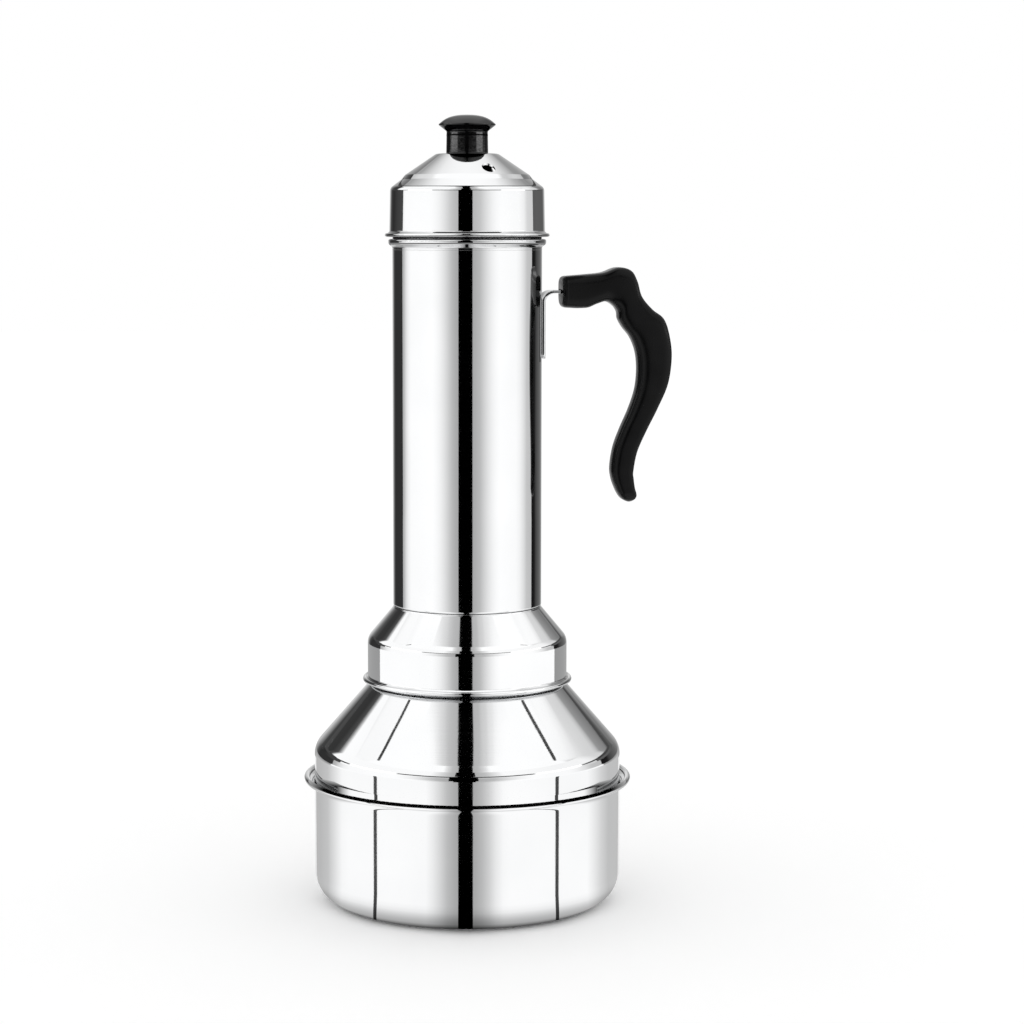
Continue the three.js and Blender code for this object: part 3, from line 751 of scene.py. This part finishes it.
for spot, away, curl in path:
    wide = strapMake["width"] / 2
    if spot.z < low.z + strapMake["legCorner"] and curl == 1.0:
        drop = 1 - (spot.z - low.z) / strapMake["legCorner"]
        wide -= strapMake["legCorner"] * (1 - math.sqrt(max(0.0, 1 - drop * drop)))
    past = spot.x - strapMake["gripEnd"] + strapMake["tangEase"]
    if curl == 0.0 and past > 0:
        ease = min(1.0, past / strapMake["tangEase"])
        wide += (strapMake["tangWidth"] / 2 - wide) * ease
    past = spot.x - high.x + strapMake["tangCorner"]
    if past > 0:
        wide -= strapMake["tangCorner"] * (1 - math.sqrt(max(0.0, 1 - (past / strapMake["tangCorner"]) ** 2)))
    ring = []
    for face in (1, -1):
        for a in (across if face == 1 else across[::-1]):
            y = a * wide
            sag = legX - math.sqrt(legX * legX - y * y)
            edge = max(0.0, abs(a) * wide - (wide - strapMake["edge"])) / strapMake["edge"]
            lift = half - strapMake["edge"] * (1 - math.sqrt(max(0.0, 1 - edge * edge)))
            if face == -1 and curl == 1.0:
                for weld in strapMake["weldAt"]:
                    far = math.hypot(y, spot.z - low.z - weld) / strapMake["weldRadius"]
                    lift -= strapMake["weldDent"] * max(0.0, 1 - far * far) ** 2
            ring.append(spot + away * face * lift + Vector((-sag * curl, y, 0)))
    rings.append(ring)
strap = lofted("handleStrap", rings, strapSteel)
cutBy(strap, [roundCutter("strapHole", strapMake["gripEnd"] + strapMake["screwOut"], strapMake["hole"],
                          strapMake["armUp"] - 3, strapMake["armUp"] + 3)], 40)
fitted(strap, "tube", "satin_steel", "handle_bracket")

# grip: lofted through pairs of points on its back and on its finger side, as shares of reach and length
gripMake = {"reach": 56.4, "length": 119.2, "thick": 18.0, "tailThick": 14.0, "backSquare": 5.0,
            "fingerSquare": 3.4, "endRound": 2.4, "tailFrom": 0.955, "tailSpan": 0.044, "tailFlat": 0.03,
            "steps": 9, "around": 64}
gripPairs = [
    ((0.043, 0.038), (0.043, 0.172)), ((0.223, 0.031), (0.214, 0.174)), ((0.373, 0.023), (0.32, 0.156)),
    ((0.506, 0.002), (0.403, 0.146)), ((0.623, 0.015), (0.474, 0.164)), ((0.68, 0.059), (0.513, 0.191)),
    ((0.723, 0.124), (0.522, 0.221)), ((0.818, 0.178), (0.563, 0.256)), ((0.928, 0.221), (0.634, 0.3)),
    ((0.983, 0.3), (0.684, 0.361)), ((1.0, 0.388), (0.699, 0.435)), ((0.967, 0.497), (0.682, 0.518)),
    ((0.875, 0.599), (0.623, 0.604)), ((0.772, 0.696), (0.549, 0.683)), ((0.691, 0.784), (0.487, 0.762)),
    ((0.657, 0.867), (0.458, 0.846)), ((0.6606, 0.8976), (0.4686, 0.8976)), ((0.6717, 0.936), (0.5, 0.94)),
    ((0.6865, 0.9605), (0.53, 0.968)), ((0.689, 0.973), (0.555, 0.9835)), ((0.68, 0.984), (0.58, 0.9915)),
    ((0.6606, 0.9925), (0.605, 0.9965)), ((0.636, 0.9975), (0.6237, 0.9983)),
]
low, high = boxOf("handle_grip")


def gripPoint(share):
    return Vector((low.x + share[0] * gripMake["reach"], 0, high.z - share[1] * gripMake["length"]))


def throughPoints(points, steps):
    line = []
    for i in range(len(points) - 1):
        a = points[max(i - 1, 0)]
        b, c = points[i], points[i + 1]
        d = points[min(i + 2, len(points) - 1)]
        for k in range(steps if i < len(points) - 2 else steps + 1):
            t = k / steps
            square = (2 * a - 5 * b + 4 * c - d) * t ** 2
            cube = (3 * b - a - 3 * c + d) * t ** 3
            line.append(0.5 * (2 * b + (c - a) * t + square + cube))
    return line


def gripRing(back, finger, thick):
    middle = (back + finger) / 2
    out = (back - finger) / 2
    ring = []
    count = gripMake["around"]
    for k in range(count):
        t = 2 * math.pi * k / count
        c, s = math.cos(t), math.sin(t)
        power = 2 / gripMake["backSquare" if c > 0 else "fingerSquare"]
        across = math.copysign(abs(c) ** power, c)
        y = math.copysign(abs(s) ** power, s) * thick / 2
        ring.append(middle + out * across + Vector((0, y, 0)))
    return ring


backLine = throughPoints([gripPoint(a) for a, b in gripPairs], gripMake["steps"])
fingerLine = throughPoints([gripPoint(b) for a, b in gripPairs], gripMake["steps"])
rings = []
for k in range(8, 0, -1):  # rounded end towards the tube
    angle = math.pi / 2 * k / 8
    inset = gripMake["endRound"] * (1 - math.cos(angle))
    shift = Vector((-gripMake["endRound"] * math.sin(angle), 0, 0))
    squeeze = Vector((0, 0, inset))
    back = backLine[0] + shift - squeeze
    finger = fingerLine[0] + shift + squeeze
    rings.append(gripRing(back, finger, gripMake["thick"] - 2 * inset))
for back, finger in zip(backLine, fingerLine):
    down = (high.z - (back.z + finger.z) / 2) / gripMake["length"]
    thick = gripMake["thick"] + (gripMake["tailThick"] - gripMake["thick"]) * down
    tail = max(0.0, (down - gripMake["tailFrom"]) / gripMake["tailSpan"])
    thinner = math.sqrt(max(gripMake["tailFlat"], 1 - min(tail, 1.0) ** 2))
    rings.append(gripRing(back, finger, thick * thinner))
grip = lofted("handleGrip", rings, gripBakelite)
screwX = strapMake["gripEnd"] + strapMake["screwOut"]
screwLow, screwHigh = boxOf("handle_screw")
insertLow, insertHigh = boxOf("handle_insert")
headSeat = screwLow.z + screwMake["headHeight"]
boreMake = {"slotOut": 20.0, "slotReach": 24.3, "slotWide": 5.1, "slotHigh": 1.05, "head": 4.4,
            "headDepth": 12.0, "shank": 2.2, "insert": 3.9}
armUp = strapMake["armUp"]
slotLow = (low.x - boreMake["slotOut"], -boreMake["slotWide"], armUp - boreMake["slotHigh"])
slotHigh = (low.x + boreMake["slotReach"], boreMake["slotWide"], armUp + boreMake["slotHigh"])
cutBy(grip, [
    boxCutter("tangSlot", slotLow, slotHigh),
    roundCutter("headHole", screwX, boreMake["head"], headSeat - boreMake["headDepth"], headSeat),
    roundCutter("shankHole", screwX, boreMake["shank"], headSeat - 0.3, insertHigh.z + 0.6),
    roundCutter("insertHole", screwX, boreMake["insert"], armUp, insertHigh.z + 0.4),
], 50)
fitted(grip, "tube", "black_bakelite", "handle_grip")
gripInsert = brassSleeve("gripInsert", insertLow.z, insertHigh.z - insertLow.z, grooves=1)
for vertex in gripInsert.data.vertices:
    vertex.co.x += screwX * mm
fitted(gripInsert, "tube", "brass", "handle_insert")
gripScrew = panScrew("gripScrew", screwX, screwLow.z, screwHigh.z)
fitted(gripScrew, "tube", "zinc_steel", "handle_screw")
print("knob, strap and grip made")

# stage: places are given to the right of, towards and above the camera's line to the tube
stageMake = {"cameraTurn": -98.0, "distance": 1.356, "eyeHeight": 0.3392, "lens": 94.92, "sensor": 36.0,
             "pitch": 5.92, "shift": 0.04375}
cameraTurn = math.radians(stageMake["cameraTurn"])
towards = Vector((math.cos(cameraTurn), math.sin(cameraTurn), 0))
rightward = Vector((-towards.y, towards.x, 0))


def stagePoint(right, front, up):
    return rightward * right + towards * front + Vector((0, 0, up))


def cardFinish():
    finish = bpy.data.materials.new("studioCard")
    finish.use_nodes = True
    tree = finish.node_tree
    tree.nodes.clear()
    shade = addNode(tree, "ShaderNodeAttribute", attribute_name="shade")
    glow = addNode(tree, "ShaderNodeEmission")
    tree.links.new(shade.outputs["Color"], glow.inputs["Color"])
    tree.links.new(glow.outputs[0], addNode(tree, "ShaderNodeOutputMaterial").inputs["Surface"])
    return finish


studioCard = cardFinish()
cardLevel = 0.914


# cards and flags of the studio, seen in the polished surfaces only: rows of points with a shade each
def addCard(name, rows):
    width = len(rows[0])
    faces = []
    for i in range(len(rows) - 1):
        for k in range(width - 1):
            faces.append((i * width + k, i * width + k + 1, (i + 1) * width + k + 1, (i + 1) * width + k))
    spots = [spot for row in rows for spot in row]
    obj = newObject(name, [point for point, shade in spots], (), faces)
    layer = obj.data.color_attributes.new("shade", "FLOAT_COLOR", "POINT")
    for item, spot in zip(layer.data, spots):
        value = spot[1] * cardLevel
        item.color = (value, value, value, 1)
    obj.data.materials.append(studioCard)
    obj.visible_camera = False
    obj.visible_diffuse = False
    obj.visible_shadow = False
    obj.visible_transmission = False


# shades across the middle of a polished wall, in mm from the axis: dark camera between two soft windows
windowShade = 1.55
middleShades = [
    (-17.2, 1.55), (-15.2, 1.48), (-13.2, 1.36), (-11.3, 1.18), (-9.3, 0.96), (-7.3, 0.74), (-5.4, 0.63),
    (-4.35, 0.6), (-4.3, 0.0), (2.6, 0.0), (2.65, 0.6), (4.3, 0.67), (6.3, 0.76), (8.2, 0.97), (10.2, 1.18),
    (12.2, 1.36), (14.1, 1.48), (16.1, 1.55),
]


def acrossWall(radius, lift=0.0):
    stops = []
    for place, shade in middleShades:
        lifted = shade + lift * (windowShade - shade) if shade else 0.0
        stops.append((math.degrees(math.asin(place / radius)), lifted))
    return stops


# puts stops no further apart than a step, so that a card keeps its round shape
def closeStops(stops, step=6.0):
    full = [stops[0]]
    for (a, low), (b, high) in zip(stops, stops[1:]):
        count = max(1, math.ceil(abs(b - a) / step))
        for k in range(1, count + 1):
            full.append((a + (b - a) * k / count, low + (high - low) * k / count))
    return full


stripStep = 0.75  # degrees, width of a strip of the floor cards


# floor card: each strip starts at a wall and runs along the view mirrored in it
def wallFan(name, radius, near, far, up, stops):
    reaches = [near + (far - near) * k / 5 for k in range(6)]
    rows = [[] for reach in reaches]
    for turn, shade in closeStops(stops, stripStep):
        t = math.radians(turn)
        foot = Vector((radius * math.sin(t), radius * math.cos(t)))
        away = 2 * t + math.atan2(foot.x, stageMake["distance"] - foot.y)
        for row, reach in zip(rows, reaches):
            right = foot.x + reach * math.sin(away)
            front = foot.y + reach * math.cos(away)
            row.append((stagePoint(right, front, up), shade))
    addCard(name, rows)


# the view mirrored at a round wall: its point and its way from there, lift is the tilt of the surface
def mirrored(radius, up, turn, lift):
    t, e = math.radians(turn), math.radians(lift)
    here = Vector((radius * math.sin(t), radius * math.cos(t), up))
    normal = Vector((math.sin(t) * math.cos(e), math.cos(t) * math.cos(e), math.sin(e)))
    look = (here - Vector((0, stageMake["distance"], stageMake["eyeHeight"]))).normalized()
    return here, look - 2 * look.dot(normal) * normal


# flag in a ring round the axis: towards its ends the shade can ease to another one
def ringCard(name, inner, outer, shade, span=180, ends=None):
    easing = 15
    rows = []
    for radius, up in (inner, outer):
        row = []
        for turn in range(-span, span + 1, 2):
            t = math.radians(turn)
            ease = 0.0 if ends is None else max(0.0, (abs(turn) - span + easing) / easing)
            level = shade + ease * ((ends or shade) - shade)
            row.append((stagePoint(radius * math.sin(t), radius * math.cos(t), up), level))
        rows.append(row)
    addCard(name, rows)


potStops = [
    (-90, 0.95), (-84, 0.56), (-70.8, 0.69), (-63.2, 0.81), (-57.5, 1.13), (-52.7, 1.43), (-48.5, 1.48),
    (-36.0, 1.48), (-35.95, 0.09), (-34.5, 0.09), (-34.45, 1.49), (-14.9, 1.48), (-12.3, 1.3), (-9.7, 1.05),
    (-7.2, 0.79), (-4.7, 0.65), (-3.25, 0.6), (-3.2, 0.0), (2.0, 0.0), (2.05, 0.6), (2.8, 0.62), (5.3, 0.75),
    (7.8, 0.97), (10.3, 1.26), (12.9, 1.45), (15.5, 1.49), (33.55, 1.49), (33.6, 0.09), (35.05, 0.09),
    (35.1, 1.49), (49.6, 1.47), (53.8, 1.26), (58.7, 0.98), (64.7, 0.77), (73.1, 0.72), (84, 0.57),
    (90, 0.95),
]


# floor round the pot, as mirrored in its wall and in the rounded corner below: upright lines stay upright
cardLift = {"pot": 0.0006, "collar": 0.0004, "tube": 0.0002}
potWall = potMake["radius"] * mm
potBend = potMake["corner"] * mm
# the shades darken as the rounded corner dips under the pot: painted contact shadow, since the card hides the
# floor's own shadow from the steel
contactShadeDips = [(0, 1.0), (6, 1.0), (13, 0.95), (20, 0.86), (27, 0.69), (34, 0.55), (40, 0.46), (46, 0.4), (51, 0.27),
        (57, 0.14), (64, 0.06), (72, 0.04), (78, 0.03)]
levels = [(0, up, 1.0) for up in (0.1, 0.06, 0.046, 0.036, 0.026)]
levels += [(dip, potBend * (1 - math.sin(math.radians(dip))), fade) for dip, fade in contactShadeDips]
rows = []
for dip, up, fade in levels:
    row = []
    radius = potWall - potBend * (1 - math.cos(math.radians(dip)))
    for i, (turn, shade) in enumerate(closeStops(potStops, stripStep)):
        t = math.radians(turn)
        column = potWall * math.sin(t) / (stageMake["distance"] - potWall * math.cos(t))
        share = 0.0
        for k in range(4):
            share = column * (stageMake["distance"] - radius * math.cos(t)) / radius
            t = math.asin(max(-0.999, min(0.999, share)))
        here, away = mirrored(radius, up, math.degrees(t), -dip)
        if rows and (abs(share) > 0.98 or away.z > -0.1):  # turned out of sight
            row.append(rows[-1][i])
            continue
        spot = here + away * (here.z / -away.z)
        row.append((stagePoint(spot.x, spot.y, cardLift["pot"]), shade * fade))
    rows.append(row)
addCard("potFloor", rows)
collarStops = [(-90, 0.95), (-84, 0.5), (-59.6, 0.47), (-59.5, 1.5)] + acrossWall(50.1)
collarStops += [(59.5, 1.5), (59.6, 0.45), (84, 0.5), (90, 0.95)]
wallFan("collarFan", collarMake["radius"] * mm, near=0.4, far=0.95, up=cardLift["collar"], stops=collarStops)
tubeLeft = [(-180, 1.0), (-165, 0.7), (-152, 0.1), (-145, 0.04), (-117.6, 0.045), (-117.5, 0.6),
            (-113.5, 0.72), (-108, 1.1), (-103, 1.33), (-96, 1.5)]
tubeRight = [(80, 1.5), (88, 1.38), (97, 1.12), (104, 0.85), (112, 0.8), (117, 0.78), (117.5, 0.01),
             (127, 0.02), (132, 0.08), (140, 0.13), (148, 0.17), (156, 0.26), (165, 0.5), (180, 1.0)]
tubeTurns = tubeLeft + [(2 * turn, shade) for turn, shade in acrossWall(tubeMake["radius"])] + tubeRight
tubeStops = [(turn / 2, shade) for turn, shade in tubeTurns]
wallFan("tubeFan", 0.0375, near=0.85, far=2.2, up=cardLift["tube"], stops=tubeStops)

# round wall of the studio in storeys up to the roof
storeyMake = {"radius": 1.9, "lid": 0.333, "knob": 0.488, "gap": 0.6, "high": 0.64, "roof": 1.5}


# one storey: shade by direction in degrees, right of the camera positive
def curtain(name, low, high, stops):
    radius = storeyMake["radius"]
    rows = []
    for up in (low, high):
        row = []
        for turn, shade in closeStops(stops):
            t = math.radians(turn)
            row.append((stagePoint(radius * math.sin(t), radius * math.cos(t), up), shade))
        rows.append(row)
    addCard(name, rows)


curtain("lowCurtain", 0.0, storeyMake["lid"], tubeTurns)
lidTurns = [(-180, 1.0), (-165, 0.7), (-152, 0.08), (-140, 0.035), (-125, 0.07), (-109.5, 0.09),
            (-109, 1.35), (-104, 1.5)]
lidTurns += [(2 * turn, shade) for turn, shade in acrossWall(38.3, 0.14)]
lidTurns += [(82, 1.5), (92, 1.36), (99, 1.05), (110, 0.98), (113, 0.95), (113.5, 0.15), (124, 0.16),
             (150, 0.14), (165, 0.7), (180, 1.0)]
curtain("lidCurtain", storeyMake["lid"], storeyMake["knob"], lidTurns)
knobTurns = [(-180, 0.8), (-165, 0.5), (-150, 0.1), (-104, 0.05), (-99, 0.3), (-96, 5.0), (-58, 5.0),
             (-52, 0.1), (-48, 0.0), (46, 0.0), (50, 0.1), (56, 5.0), (92, 5.0), (96, 0.3), (104, 0.05),
             (150, 0.1), (165, 0.5), (180, 0.8)]
curtain("knobCurtain", storeyMake["knob"], storeyMake["gap"], knobTurns)

# dark gap above the front of the low wall, then the upper wall
gapTurns = [(-180, 0.8), (-165, 0.5), (-150, 0.1), (-130, 0.05), (-119, 0.05), (-118.5, 1.3), (-105, 1.5),
            (-60, 1.5), (-36, 1.0), (-26, 0.8), (-7.1, 0.6), (-7, 0.0), (4.4, 0.0), (4.5, 0.6), (26, 0.8),
            (36, 1.0), (60, 1.5), (105, 1.3), (118, 0.9), (118.5, 0.1), (132, 0.12), (150, 0.3), (165, 0.5),
            (180, 0.8)]
curtain("gapCurtain", storeyMake["gap"], storeyMake["high"], gapTurns)
highTurns = [(-180, 0.8), (-170, 0.55), (-160, 0.28), (-152, 0.13), (-144, 0.055), (-136, 0.05), (-130, 0.1),
             (-127.5, 0.6), (-125, 1.5), (-28, 1.5), (-20, 1.1), (-14, 0.8), (-9.1, 0.65), (-9, 0.0),
             (6, 0.0), (6.1, 0.65), (14, 0.8), (20, 1.1), (28, 1.5), (105, 1.4), (112, 1.25), (119, 1.05),
             (128, 0.98), (131, 0.8), (134, 0.45), (138, 0.38), (146, 0.27), (154, 0.33), (165, 0.5), (180, 0.8)]
curtain("highCurtain", storeyMake["high"], storeyMake["roof"], highTurns)

# roof in front of the tube: the dark camera's strips draw together towards the front, then part again
roofShades = [(-1.9, 1.55), (-0.47, 1.55), (-0.446, 1.48), (-0.41, 1.22), (-0.357, 1.0), (-0.283, 0.77),
              (-0.2, 0.7), (-0.166, 0.66), (-0.165, 0.0), (0.105, 0.0), (0.106, 0.68), (0.2, 0.75),
              (0.307, 1.0), (0.38, 1.26), (0.42, 1.47), (0.45, 1.53), (0.47, 1.55), (1.9, 1.55)]
rows = []
for front, spread in ((0.3, 1.588), (0.6, 0.706), (0.75, 0.78), (1.9, 1.45)):
    row = []
    for place, shade in roofShades:
        right = place if abs(place) > 1 else place * spread
        row.append((stagePoint(right, front, storeyMake["roof"]), shade))
    rows.append(row)
addCard("roofFront", rows)

# roof over and behind the tube: white at the sides, greyer to the back
backShades = [(-1.9, 1.45), (-1.3, 1.5), (-1.1, 1.5), (-0.9, 1.25), (-0.6, 1.25), (-0.45, 1.5), (-0.35, 1.62),
              (0.35, 1.62), (0.45, 1.42), (0.6, 1.05), (0.85, 0.97), (1.1, 1.45), (1.35, 1.5), (1.5, 1.45),
              (1.9, 1.0)]
backFades = ((-0.22, 0.98, 1.0), (-0.45, 0.9, 1.0), (-0.7, 0.79, 1.0), (-0.95, 0.67, 0.9), (-1.45, 0.42, 0.7),
             (-1.9, 0.42, 0.6))
rows = []
for front in (0.3, -0.1):
    rows.append([(stagePoint(place, front, storeyMake["roof"]), windowShade) for place, shade in backShades])
for front, inner, outer in backFades:
    row = []
    for place, shade in backShades:
        fade = outer if abs(place) > 1.2 else inner
        row.append((stagePoint(place, front, storeyMake["roof"]), shade * fade))
    rows.append(row)
addCard("roofBack", rows)

# two thin seams of the tent, close over the cone
tentSeams = (("leftSeam", ((-0.28, 0.0135), (-0.358, 0.0145))),
             ("rightSeam", ((0.265, 0.031), (0.353, 0.0175))))
tentMake = {"up": 0.43, "half": 0.0075, "shade": 0.08}
for name, spots in tentSeams:
    rows = []
    for shift in (-tentMake["half"], tentMake["half"]):
        points = [stagePoint(right, front + shift, tentMake["up"]) for right, front in spots]
        rows.append([(point, tentMake["shade"]) for point in points])
    addCard(name, rows)

# dark flags along the strap's edge, seen in reflections only: a painted dark reflection on the edge; from corner
# to corner in mm
strapShadeFlags = (("legFlag", (36.9, -10.0, 274.5), (38.2, -10.0, 308.0)),
              ("armFlag", (38.2, -10.5, 307.0), (47.0, -10.5, 310.2)))
strapShade = 0.03
for name, low, high in strapShadeFlags:
    rows = []
    for z in (low[2], high[2]):
        rows.append([(Vector((x, y, z)) * mm, strapShade) for x, y in (low[:2], high[:2])])
    addCard(name, rows)

# card round the foot of the skirt, behind the pot's rim, glowing close to the skirt and seen in reflections
# only: a painted reflection on the skirt's lower band, fading towards its ends
skirtMake = {"radius": 0.078, "low": 0.0625, "high": 0.0668, "span": 57, "fade": 9, "step": 1.5}
skirtSpots = []
for turn, shade in closeStops(potStops, skirtMake["step"]):
    if abs(turn) < skirtMake["span"]:
        t = math.radians(turn)
        fade = min(1.0, (skirtMake["span"] - abs(turn)) / skirtMake["fade"])
        spot = (skirtMake["radius"] * math.sin(t), skirtMake["radius"] * math.cos(t), shade * fade)
        skirtSpots.append(spot)
rows = []
for up in (skirtMake["low"], skirtMake["high"]):
    rows.append([(stagePoint(right, front, up), shade) for right, front, shade in skirtSpots])
addCard("skirtCard", rows)

# dark flags over the pot's bead, under the knob's flange, round the gap under the lid and over its shoulder,
# seen in reflections only: painted shade in the rim's trough, under the flange and in the lid's gap, and a
# painted dark line on the lid's shoulder
ringCard("rimFlag", (0.0808, 0.06536), (0.1, 0.06128), shade=0.0, span=76, ends=0.6)
ringCard("knobFlag", (0.0107, lidTop * mm + 0.0088), (0.0138, lidTop * mm + 0.0098), shade=0.0)
ringCard("gapFlag", (0.06, 0.3351), (0.06, 0.337), shade=0.0, span=124)
ringCard("stopFlag", (0.041, 0.3303), (0.06, 0.3303), shade=0.3, span=124)
ringCard("lidFlag", (0.0376, 0.37), (0.0402, 0.37), shade=0.08)

# the floor is open under the pot's flat bottom, so that the underside is lit too
floorMake = {"inside": 0.001, "reach": 8.0, "sides": 96}
sides = floorMake["sides"]
floorPoints = []
for reach in (potWall - potBend - floorMake["inside"], floorMake["reach"]):
    for k in range(sides):
        t = 2 * math.pi * k / sides
        floorPoints.append((reach * math.cos(t), reach * math.sin(t), 0))
floorFaces = []
for k in range(sides):
    n = (k + 1) % sides
    floorFaces.append((k, k + sides, n + sides, n))
floor = newObject("floor", floorPoints, (), floorFaces)
floorFinish, tree, shader, place = startFinish("paleFloor")
toneOf(tree, shader, noiseOf(tree, place, 3.0), (0.99, 0.99, 0.99), (1.0, 1.0, 1.0))
shader.inputs["Roughness"].default_value = 1.0
shader.inputs["Specular IOR Level"].default_value = 0.0
shader.inputs["Emission Color"].default_value = (1, 1, 1, 1)
seen = addNode(tree, "ShaderNodeLightPath").outputs["Is Camera Ray"]
tree.links.new(calc(tree, "MULTIPLY", seen, 0.03), shader.inputs["Emission Strength"])
floor.data.materials.append(floorFinish)

world = bpy.data.worlds.new("paleStudio")
world.use_nodes = True
world.node_tree.nodes["Background"].inputs["Color"].default_value = (1, 1, 1, 1)
world.node_tree.nodes["Background"].inputs["Strength"].default_value = 1.0
bpy.context.scene.world = world

cameraData = bpy.data.cameras.new("photoCamera")
cameraData.lens = stageMake["lens"]
cameraData.sensor_width = stageMake["sensor"]
cameraData.shift_x = stageMake["shift"]
camera = bpy.data.objects.new("photoCamera", cameraData)
bpy.context.scene.collection.objects.link(camera)
camera.location = stagePoint(0, stageMake["distance"], stageMake["eyeHeight"])
pitch = math.radians(stageMake["pitch"])
ahead = -towards * math.cos(pitch) - Vector((0, 0, math.sin(pitch)))
camera.rotation_mode = "QUATERNION"
camera.rotation_quaternion = ahead.to_track_quat("-Z", "Y")
bpy.context.scene.camera = camera
bpy.context.scene.view_settings.view_transform = "Standard"
print("stage set")
